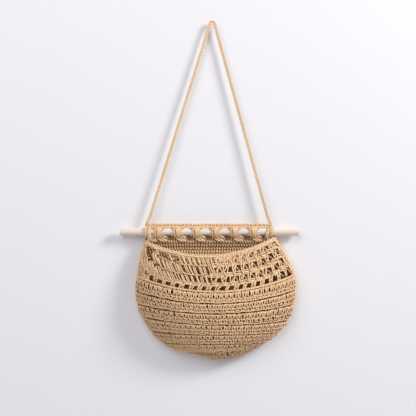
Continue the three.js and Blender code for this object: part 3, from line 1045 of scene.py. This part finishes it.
# The strands of one close stitch, two rows high. Each point is [stitches along, band share down,
# millimetres off the face]. The upper row's legs close at the top, part round a small hole and
# meet again; the lower row's legs all lean one way; a ridge of chain ends the band.
PARTING_LEG = [
    (0.45, 0.02, -3.6), (0.4, 0.09, -1.6), (0.31, 0.15, -0.8), (0.24, 0.21, -0.5),
    (0.24, 0.29, -0.6), (0.35, 0.38, -1.0), (0.45, 0.5, -3.0),
]
TOP_STRAND = [(0.1, 0.02, -3.4), (0.18, 0.1, -1.4), (0.22, 0.18, -1.4), (0.16, 0.3, -3.0)]
MIDDLE_STRAND = [
    (-0.05, 0.02, -3.6), (-0.02, 0.1, -1.6), (0, 0.18, -1.7), (0.02, 0.3, -2.4), (0.04, 0.44, -3.4),
]
UPPER_RIDGE = [
    (-0.1, 0.5, -2.3), (0.37, 0.46, -1.1), (0.62, 0.5, -1.1), (0.87, 0.54, -1.1), (1.1, 0.5, -2.3),
]
LEANING_LEG = [
    (0.22, 0.4, -2.8), (0.4, 0.5, -1.1), (0.54, 0.6, -0.5), (0.65, 0.72, -0.7), (0.82, 0.84, -2.6),
]
LOWER_RIDGE = [
    (-0.1, 0.79, -2.4), (0.12, 0.76, -1.1), (0.37, 0.73, -1.2), (0.62, 0.76, -1.1),
    (1.1, 0.79, -2.4),
]
CHAIN_RIDGE = [
    (-0.15, 0.9, -2.6), (0.1, 0.865, -0.6), (0.5, 0.845, -0.2), (0.85, 0.865, -0.7),
    (1.1, 0.91, -2.6),
]
# The close stitch, as [strand, points]: its strands, some of them mirrored or repeated.
CLOSE_STITCH = [
    (PARTING_LEG, 10),
    ([(1 - s, h, w) for s, h, w in PARTING_LEG], 10),
    (TOP_STRAND, 7),
    ([(1 - s, h, w) for s, h, w in TOP_STRAND], 7),
    (MIDDLE_STRAND, 8),
    (UPPER_RIDGE, 6),
    (LEANING_LEG, 7),
    ([(s - 0.46, h, w) for s, h, w in LEANING_LEG], 7),
    (LOWER_RIDGE, 7),
    (CHAIN_RIDGE, 7),
]
# How far each band's stitches lie along from those of the band above, in stitches.
BAND_SHIFT = -0.2
# How far a band swells out in its middle.
BAND_SWELL_MM = 0.9
# The yarn's radius in thicknesses of a strand, and how much thinner it gets towards the left edge
# and with each band down, where the work is tighter.
BAND_YARN_RADIUS = 0.48
LEFT_THINNING = 0.14
BAND_THINNING = 0.02
# A skin in painted shade lies this far under the face, behind the stitches: a dark sheet for the
# shade that falls between them.
SHADE_SKIN_DEPTH_MM = 3.3
# The ridges of yarn on the wrong side: their step in rows, their depth and their radius.
RIDGE_STEP = 0.25
RIDGE_DEPTH_MM = 5.6
RIDGE_RADIUS_MM = 2.1


class WALLPOCKET_OT_close_bands(bpy.types.Operator):
    """Make the front panel's seven bands of close stitches"""

    bl_idname = "wall_pocket.close_bands"
    bl_label = "Close bands"

    def execute(self, context):
        settings = context.scene.wall_pocket_yarn
        materials = yarn_materials(settings)
        work = YarnWork()
        for band in range(BOTTOM_ROW - 1):
            top = 1.0 + band
            stitches = round(row_length(top + 0.5) / settings.stitch_width)
            shift = (BAND_SHIFT * band) % 1.0
            for shape, count in CLOSE_STITCH:
                local = smooth(shape, count)
                s = np.arange(-1, stitches + 1)[:, None] + shift + local[None, :, 0]
                middle = s.mean(axis=1)
                s = s[(middle > 0) & (middle < stitches)]
                share = np.clip((s + loose(s, 0.05)) / stitches, 0.004, 0.996)
                row = np.clip(top + local[None, :, 1] + loose(s, 0.02), 0.99, BOTTOM_ROW - 0.02)
                swell = BAND_SWELL_MM * np.sin(math.pi * np.clip(local[None, :, 1], 0, 1))
                lift = (local[None, :, 2] + swell + loose(s, 0.25)) * MM
                centres, out = front_face(angle_at(share, row), row, lift)
                leftness = np.clip(1 - 2 * share.mean(axis=1, keepdims=True), 0, 1)
                thinning = LEFT_THINNING * leftness + BAND_THINNING * band
                work.add(centres, out, BAND_YARN_RADIUS * settings.thickness * (1 - thinning), 5)
        # A dark skin in painted shade, where the gaps between stitches show only shade.
        share, row = np.meshgrid(np.linspace(0, 1, 81), np.linspace(1.0, BOTTOM_ROW - 0.01, 57))
        skin, _ = front_face(angle_at(share, row), row, np.full_like(share, -SHADE_SKIN_DEPTH_MM * MM))
        work.add_sheet(skin, IN_SHADE)
        for row in np.arange(1.05, BOTTOM_ROW - 0.05, RIDGE_STEP):
            share = np.linspace(0.01, 0.99, round(row_length(row) / (4 * MM)))
            wave = 0.5 * np.sin(2 * math.pi * share * row_length(row) / settings.stitch_width)
            rows = row + 0.03 * wave
            lift = (0.4 * wave - RIDGE_DEPTH_MM) * MM
            centres, out = front_face(angle_at(share, rows), rows, lift)
            work.add(centres, out, RIDGE_RADIUS_MM * MM, 4)
        panel = work.piece("front_close_bands", materials)
        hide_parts("front_panel")
        blend_with_mouth(panel)
        return {"FINISHED"}


def blend_with_mouth(piece):
    """Bakes the piece's place into its mesh."""
    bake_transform(piece)


# The openwork round one hole. Each point is [pitches along, rows up, millimetres off the face],
# from the hole's middle. A long strand leans with the columns down the hole's right side to the
# next hole but one below, and is short in the lowest row. Bars lie over the hole, and the post
# beside it closes round a small hole of its own. Where the work is drawn close, one more strand
# crosses the hole. At the left the work is out of square, and long slanted strands fill it.
LONG_STRAND = [
    (0.22, 0.62, -1.8), (0.31, 0.42, 0.4), (0.33, 0.2, 1.0), (0.34, -0.02, 1.1), (0.4, -0.24, 1.2),
    (0.5, -0.42, 1.1), (0.63, -0.58, 0.5), (0.76, -0.72, -1.8),
]
CROSSING_STRAND = [
    (-0.3, 0.38, -1.8), (-0.14, 0.18, -0.2), (0.03, -0.02, 0.2), (0.18, -0.2, -0.2),
    (0.32, -0.4, -1.8),
]
SLANTED_STRAND = [
    (0.16, 0.46, -2.4), (0.2, 0.3, 0.0), (0.25, 0.05, 1.1), (0.3, -0.2, 0.9), (0.38, -0.4, -0.6),
    (0.42, -0.5, -2.6),
]
SHORT_STRAND = LONG_STRAND[:4] + [(0.38, -0.22, 0.2), (0.4, -0.4, -2.4)]
TOP_BAR = [
    (-0.38, 0.72, -2.0), (-0.12, 0.71, -0.5), (0.18, 0.69, -0.3), (0.46, 0.67, -0.8),
    (0.7, 0.66, -2.2),
]
FOOT_BAR = [
    (-0.42, 0.4, -2.0), (-0.2, 0.38, -0.4), (0.1, 0.35, -0.1), (0.36, 0.36, -0.5),
    (0.56, 0.4, -2.0),
]
HOLE_POST = [
    (0.78, 0.5, -2.0), (0.71, 0.34, -0.2), (0.69, 0.12, 0.2), (0.69, -0.1, 0.1),
    (0.7, -0.28, -0.3), (0.62, -0.46, -2.0),
]
# The bars over a hole and the post beside it, as [strand, points].
SQUARE_STRANDS = [
    (TOP_BAR, 10),
    ([(-0.4, 0.6, -2.2), (-0.1, 0.59, -1.2), (0.3, 0.56, -1.2), (0.7, 0.56, -2.2)], 7),
    ([(-0.4, 0.46, -2.2), (-0.1, 0.47, -1.2), (0.3, 0.45, -1.0), (0.65, 0.47, -2.2)], 7),
    (FOOT_BAR, 10),
    (HOLE_POST, 12),
    ([(0.7, 0.42, -1.6), (0.6, 0.22, -0.5), (0.48, 0.02, -0.1), (0.38, -0.2, -1.6)], 8),
    ([(0.36, 0.26, -1.8), (0.44, 0.28, -1.0), (0.52, 0.3, -1.6)], 5),
    ([(0.48, -0.2, -1.8), (0.57, -0.24, -0.9), (0.66, -0.25, -1.8)], 5),
]
# How far along the slanted strands of one cell lie, in pitches, and the bars across them.
SLANTED_PLACES = [0, 0.15, 0.5, 0.65]
SLANTED_BARS = [
    [(-0.5, 0.56, -2.2), (-0.3, 0.52, -0.6), (0.0, 0.55, -0.5), (0.2, 0.6, -2.0)],
    [(0.0, 0.5, -2.2), (0.2, 0.46, -0.6), (0.5, 0.49, -0.5), (0.7, 0.54, -2.0)],
]
SHADED_BAR = [(-0.5, 0.02, -2.6), (-0.2, 0.1, -1.8), (0.2, -0.06, -1.8), (0.6, 0.02, -2.6)]
# The yarn's radius in each kind of cell, and in the strands that cross close and half-open holes.
OPEN_RADIUS_MM = 1.26
SLANTED_RADIUS_MM = 1.12
SHADED_RADIUS_MM = 1.45
CROSSING_RADIUS_MM = 1.35
HALF_OPEN_RADIUS_MM = 0.8
# The holes' places in each row, in columns from the middle; they widen towards the right edge.
LEFT_COLUMNS = [-10, -9, -8, -7, -6, -5, -4, -3, -2, -1]
OPEN_PLACES = [
    LEFT_COLUMNS + [-0.1, 0.8, 1.75, 2.75, 3.85, 5.0, 6.45, 8.6],
    LEFT_COLUMNS + [0, 1, 2.05, 3.15, 4.3, 5.55, 6.96, 8.7],
    LEFT_COLUMNS + [0, 1, 2, 3, 3.97, 4.96, 6.1, 7.3, 8.7],
    [
        -9.5, -8.5, -7.4, -6.3, -5.3, -4.3, -3.25, -2.25, -1.3, -0.3, 0.7, 1.65, 2.65, 3.65, 4.65,
        5.65, 6.8, 7.9, 9.3,
    ],
]
# The first column of each row that is open, and the columns with a dark pocket at the left.
OPEN_FROM_COLUMN = [3.2, 0.5, -20, -20]
POCKET_COLUMNS = [(-9, -7), (-9,), (), ()]
# Columns up to these are slanted, and shaded in the top row.
SLANTED_TO_COLUMN = -2
SHADED_TO_COLUMN = -6
# Columns beyond these are half open, in the upper rows and in the lowest one.
HALF_OPEN_FROM_COLUMN = 1
LOWEST_HALF_OPEN_FROM_COLUMN = 7
# How far strands slant, in pitches for each row, in full at a radian left of this angle, and how
# far under a hole's middle they stay in place.
LEFT_SLANT = 0.8
SLANT_TO_ANGLE = 1.9
SLANT_PIVOT = 0.4
# The pitch of the last column at the right, as a share of what its place gives.
LAST_PITCH_SHARE = 0.8
# How far the rows rise at the ends, beyond these columns on either side: at the right in rows for
# each column, and at the left for the square of the columns, up to a limit.
RISE_FROM_COLUMN = 6
RIGHT_RISE = 0.035
LEFT_RISE = 0.028
LEFT_RISE_LIMIT = 0.18
# The angles at which the openwork's cells end.
LEFT_END_ANGLE = 0.15
RIGHT_END_ANGLE = math.pi - 0.2
# The chains down the openwork's two ends, as [share of the row's length, first row].
END_CHAINS = [
    (0.012, 0.0), (0.034, 0.0), (0.056, 0.12), (0.078, 0.52), (0.966, 0.0), (0.988, 0.0),
]
# The strands round the two small holes at the lowest row's left end, as [angle, row].
LEFT_END_STRANDS = [
    [(0.56, 0.62), (0.57, 0.75), (0.55, 0.88), (0.57, 1.0)],
    [(0.32, 0.54), (0.44, 0.57), (0.58, 0.64)],
    [(0.32, 0.61), (0.44, 0.64), (0.58, 0.71)],
    [(0.36, 0.82), (0.46, 0.83), (0.58, 0.87)],
    [(0.36, 0.9), (0.48, 0.91), (0.58, 0.94)],
]
# The row at which a chain closes the openwork off from the close bands.
CLOSING_ROW = 0.985


def openwork_strands(columns, number):
    """One open row's strands, as (shape, points, whether it leans, its columns, radius in mm)."""
    lowest = number == len(OPEN_ROW_MIDDLES) - 1
    left = (columns <= SLANTED_TO_COLUMN) & (not lowest)
    close = (columns < OPEN_FROM_COLUMN[number]) & ~left
    slanted = left & ~np.isin(columns, POCKET_COLUMNS[number])
    shaded = slanted & (columns <= SHADED_TO_COLUMN) & (number == 0)
    slanted = slanted & ~shaded
    half_open = columns > LOWEST_HALF_OPEN_FROM_COLUMN
    if not lowest:
        half_open = half_open | ((columns > HALF_OPEN_FROM_COLUMN) & ~close)
    long_strand = SHORT_STRAND if lowest else LONG_STRAND
    slants = [[(s + along, t, w) for s, t, w in SLANTED_STRAND] for along in SLANTED_PLACES]
    return [
        (long_strand, 16, not lowest, ~left, OPEN_RADIUS_MM),
        *[(shape, count, False, ~left, OPEN_RADIUS_MM) for shape, count in SQUARE_STRANDS],
        *[(shape, 13, True, slanted, SLANTED_RADIUS_MM) for shape in slants],
        *[(shape, 8, False, slanted, SLANTED_RADIUS_MM) for shape in SLANTED_BARS],
        (SLANTED_STRAND, 13, True, shaded, SHADED_RADIUS_MM),
        (SHADED_BAR, 7, False, shaded, SHADED_RADIUS_MM),
        (CROSSING_STRAND, 10, False, close, CROSSING_RADIUS_MM),
        (CROSSING_STRAND, 10, False, half_open, HALF_OPEN_RADIUS_MM),
    ]


class WALLPOCKET_OT_openwork(bpy.types.Operator):
    """Make the four open rows under the mouth, and the close columns at their ends"""

    bl_idname = "wall_pocket.openwork"
    bl_label = "Openwork"

    def execute(self, context):
        settings = context.scene.wall_pocket_yarn
        materials = yarn_materials(settings)
        work = YarnWork()
        for number, (middle, places) in enumerate(zip(OPEN_ROW_MIDDLES, OPEN_PLACES)):
            columns = np.array(places, float)
            base = open_angle(columns)
            pitch = np.gradient(base)
            pitch[-1] *= LAST_PITCH_SHARE
            beyond_left, beyond_right = (
                np.clip(side * columns - RISE_FROM_COLUMN, 0, None) for side in (-1, 1)
            )
            rise = RIGHT_RISE * beyond_right
            rise = rise + np.minimum(LEFT_RISE * beyond_left**2, LEFT_RISE_LIMIT)
            slant = LEFT_SLANT * np.clip(SLANT_TO_ANGLE - base, 0, 1)
            for shape, count, leans, wanted, radius in openwork_strands(columns, number):
                local = smooth(shape, count)
                up = local[None, :, 1]
                s = local[None, :, 0] + loose(columns, 0.05)
                if leans:
                    s = s - slant[:, None] * (up + SLANT_PIVOT)
                row = middle - rise[:, None] - OPEN_ROW_PITCH * (up + loose(columns, 0.03))
                lean = LEAN_ANGLE * np.clip(1 - row, 0, 1) * np.sin(base)[:, None]
                angle = base[:, None] + lean + pitch[:, None] * s
                lift = (local[None, :, 2] + loose(columns, 0.2)) * MM
                mean = angle.mean(axis=1)
                keep = (mean > LEFT_END_ANGLE) & (mean < RIGHT_END_ANGLE) & wanted
                angle = np.clip(angle[keep], 0.02, math.pi - 0.02)
                centres, out = front_face(angle, np.clip(row[keep], 0.01, 1.02), lift[keep])
                work.add(centres, out, radius * MM)
        for share, first_row in END_CHAINS:
            row = np.linspace(first_row, 1.03, 60)
            angle = angle_at(np.full_like(row, share), np.ones_like(row))
            centres, out = front_face(angle, row, np.full_like(row, -1.6 * MM))
            add_chain(
                work, centres, out, width=7.6 * MM, stitch=9 * MM, yarn=2.3 * MM, sides=6
            )
        for strand in LEFT_END_STRANDS:
            angle, row = smooth(strand, 10).T
            centres, out = front_face(angle, row, np.full_like(row, -0.5 * MM))
            work.add(centres, out, radius=1.6 * MM)
        row = np.full(120, CLOSING_ROW)
        angle = angle_at(np.linspace(0, 1, len(row)), row)
        centres, out = front_face(angle, row, np.full_like(row, -1.0 * MM))
        add_chain(
            work, centres, out, width=4.2 * MM, stitch=10 * MM, yarn=2.3 * MM, flat=0.8, sides=6
        )
        net = work.piece("front_openwork", materials)
        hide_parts("front_panel")
        blend_with_mouth(net)
        return {"FINISHED"}


# The edging's chain lies this far inside the front's face and above its rim.
EDGING_DEPTH_MM = 2.75
EDGING_RISE_MM = 2.8
# The points of the rim, from the left, that have one more strand under the chain.
LEFT_RIM_POINTS = 62
# The seam's chain lies this far inside the outline. Its second strand lies further in and behind,
# where it closes the slit in front of the back panel.
SEAM_INSET_MM = 2.4
BEHIND_INSET_MM = 4.0
BEHIND_MM = 2.56


class WALLPOCKET_OT_edgings(bpy.types.Operator):
    """Make the pale edging along the mouth and the seam down the sides"""

    bl_idname = "wall_pocket.edgings"
    bl_label = "Edgings"

    def execute(self, context):
        settings = context.scene.wall_pocket_yarn
        materials = yarn_materials(settings)
        angle = np.linspace(0, math.pi, 160)
        depth = np.full_like(angle, -EDGING_DEPTH_MM * MM)
        rim, out = front_face(angle, np.zeros_like(angle), depth)
        rim = rim + np.array([0, 0, EDGING_RISE_MM * MM])
        facing = unit(out + np.array([0.0, 0.0, 0.6]))
        work = YarnWork()
        add_chain(
            work, rim, facing, width=8.4 * MM, stitch=9 * MM, yarn=3.3 * MM, slot=BLEACHED,
            flat=0.8, sides=6,
        )
        work.add(rim, facing, radius=1.5 * MM, slot=BLEACHED)
        under = rim[:LEFT_RIM_POINTS] + np.array([0, -2.0, -4.4]) * MM
        work.add(under, facing[:LEFT_RIM_POINTS], radius=1.5 * MM, slot=BLEACHED)
        edging = work.piece("mouth_edging_chain", materials)
        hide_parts("mouth_edging")
        blend_with_mouth(edging)
        arc = front_point(np.linspace(0, math.pi, 31), np.full(31, float(BOTTOM_ROW)))[:, [0, 2]]
        outline = spaced(np.concatenate([LEFT_SIDE[:-1], arc, RIGHT_SIDE[::-1][1:]]), 400)
        along = unit(np.gradient(outline, axis=0))
        inwards = np.stack([-along[:, 1], np.zeros(len(along)), along[:, 0]], axis=-1)
        edge = np.insert(outline, 1, SEAM_Y_MM * MM, axis=1)
        route = edge + inwards * SEAM_INSET_MM * MM
        behind = edge + inwards * BEHIND_INSET_MM * MM + np.array([0, BEHIND_MM * MM, 0])
        work = YarnWork()
        add_chain(
            work, route, -inwards, width=6.2 * MM, stitch=8 * MM, yarn=2.6 * MM, flat=0.8, sides=6
        )
        work.add(route, -inwards, radius=1.6 * MM)
        work.add(behind, -inwards, radius=2.2 * MM)
        seam = work.piece("side_seam_chain", materials)
        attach(seam, "pocket")
        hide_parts("side_seam")
        return {"FINISHED"}


# Stage


def plain_mesh(name, points, material):
    """A single-faced stage object."""
    mesh = bpy.data.meshes.new(name)
    mesh.from_pydata([Vector(p) for p in points], [], [tuple(range(len(points)))])
    mesh.materials.append(material)
    made = bpy.data.objects.new(name, mesh)
    bpy.context.scene.collection.objects.link(made)
    return made


def add_lamp(name, place, target, size, power):
    """An area lamp at a place, aimed at a target."""
    data = bpy.data.lights.new(name, "AREA")
    data.shape = "DISK"
    data.size = size
    data.energy = power
    lamp = bpy.data.objects.new(name, data)
    lamp.location = place
    lamp.rotation_euler = (Vector(target) - Vector(place)).to_track_quat("-Z", "Y").to_euler()
    bpy.context.scene.collection.objects.link(lamp)


# Sizes and places of the stage, in metres.
WALL_Y = 9 * MM
WALL_HALF_WIDTH = 3
WALL_TOP_Z = 2
FLOOR_Z = -2.2
FLOOR_HALF_WIDTH = 2
LAMP_TARGET = (0.0, -0.02, -0.45)
CAMERA_PLACE = (-8.2 * MM, -2.006, -364 * MM)


class WALLPOCKET_OT_stage(bpy.types.Operator):
    """Make the wall, the floor, the lights and the camera"""

    bl_idname = "wall_pocket.stage"
    bl_label = "Stage"

    def execute(self, context):
        settings = context.scene.wall_pocket_stage
        wall = wall_paint("wall_emulsion_paint", settings.wall_colour, True)
        floor = wall_paint("floor_matt_paint", settings.wall_colour, False)
        across, up = WALL_HALF_WIDTH, WALL_TOP_Z
        corners = [(-across, FLOOR_Z), (across, FLOOR_Z), (across, up), (-across, up)]
        backdrop = plain_mesh("stage_wall", [(x, WALL_Y, z) for x, z in corners], wall)
        backdrop.visible_shadow = False
        half = FLOOR_HALF_WIDTH
        corners = [(-half, -half), (half, -half), (half, half), (-half, half)]
        plain_mesh("stage_floor", [(x, y, FLOOR_Z) for x, y in corners], floor)
        for name, place, size, power in (
            ("key_light", (2.4, -1.39, 1.16), 1.0, settings.key_power),
            ("front_light", (-0.9, -2.0, 0.85), 2.4, settings.front_power),
            ("back_light", (0.6, 2.4, 0.4), 1.6, settings.back_power),
        ):
            add_lamp(name, place, LAMP_TARGET, size, power)
        world = bpy.data.worlds.new("studio")
        world.use_nodes = True
        tree = world.node_tree
        tree.nodes.clear()
        sky = add_node(
            tree, "ShaderNodeBackground",
            {"Color": with_alpha(linear("#f4f5fa")), "Strength": settings.fill_strength},
        )
        add_node(tree, "ShaderNodeOutputWorld", links={"Surface": sky.outputs[0]})
        context.scene.world = world
        context.scene.view_settings.view_transform = "Standard"
        data = bpy.data.cameras.new("photo_camera")
        data.lens = settings.lens
        data.sensor_width = 36
        data.clip_start = 0.05
        camera = bpy.data.objects.new("photo_camera", data)
        camera.location = CAMERA_PLACE
        camera.rotation_euler = (math.pi / 2, 0, 0)
        context.scene.collection.objects.link(camera)
        context.scene.camera = camera
        return {"FINISHED"}


class WALLPOCKET_PT_pieces(bpy.types.Panel):
    """Shows the wall pocket's settings and the buttons that make its pieces"""

    bl_label = "Wall Pocket"
    bl_idname = "WALLPOCKET_PT_pieces"
    bl_space_type = "VIEW_3D"
    bl_region_type = "UI"
    bl_category = "Wall Pocket"

    def draw(self, context):
        for name, group in SETTINGS.items():
            for setting in group.__annotations__:
                self.layout.prop(getattr(context.scene, name), setting)
        for operator in OPERATORS:
            self.layout.operator(operator.bl_idname)


SETTINGS = {
    "wall_pocket_yarn": YarnSettings,
    "wall_pocket_dowel": DowelSettings,
    "wall_pocket_stage": StageSettings,
}
OPERATORS = [
    WALLPOCKET_OT_hanging_cord,
    WALLPOCKET_OT_dowel,
    WALLPOCKET_OT_dowel_loops,
    WALLPOCKET_OT_back_panel,
    WALLPOCKET_OT_close_bands,
    WALLPOCKET_OT_openwork,
    WALLPOCKET_OT_edgings,
    WALLPOCKET_OT_stage,
]


def register():
    """Registers the settings, the operators and the panel."""
    for name, group in SETTINGS.items():
        bpy.utils.register_class(group)
        setattr(bpy.types.Scene, name, PointerProperty(type=group))
    for made in (*OPERATORS, WALLPOCKET_PT_pieces):
        bpy.utils.register_class(made)


def unregister():
    """Takes out what register() put in."""
    for made in (WALLPOCKET_PT_pieces, *reversed(OPERATORS)):
        bpy.utils.unregister_class(made)
    for name, group in SETTINGS.items():
        delattr(bpy.types.Scene, name)
        bpy.utils.unregister_class(group)


def main():
    register()
    for operator in OPERATORS:
        group, name = operator.bl_idname.split(".")
        getattr(getattr(bpy.ops, group), name)()


if __name__ == "__main__":
    main()
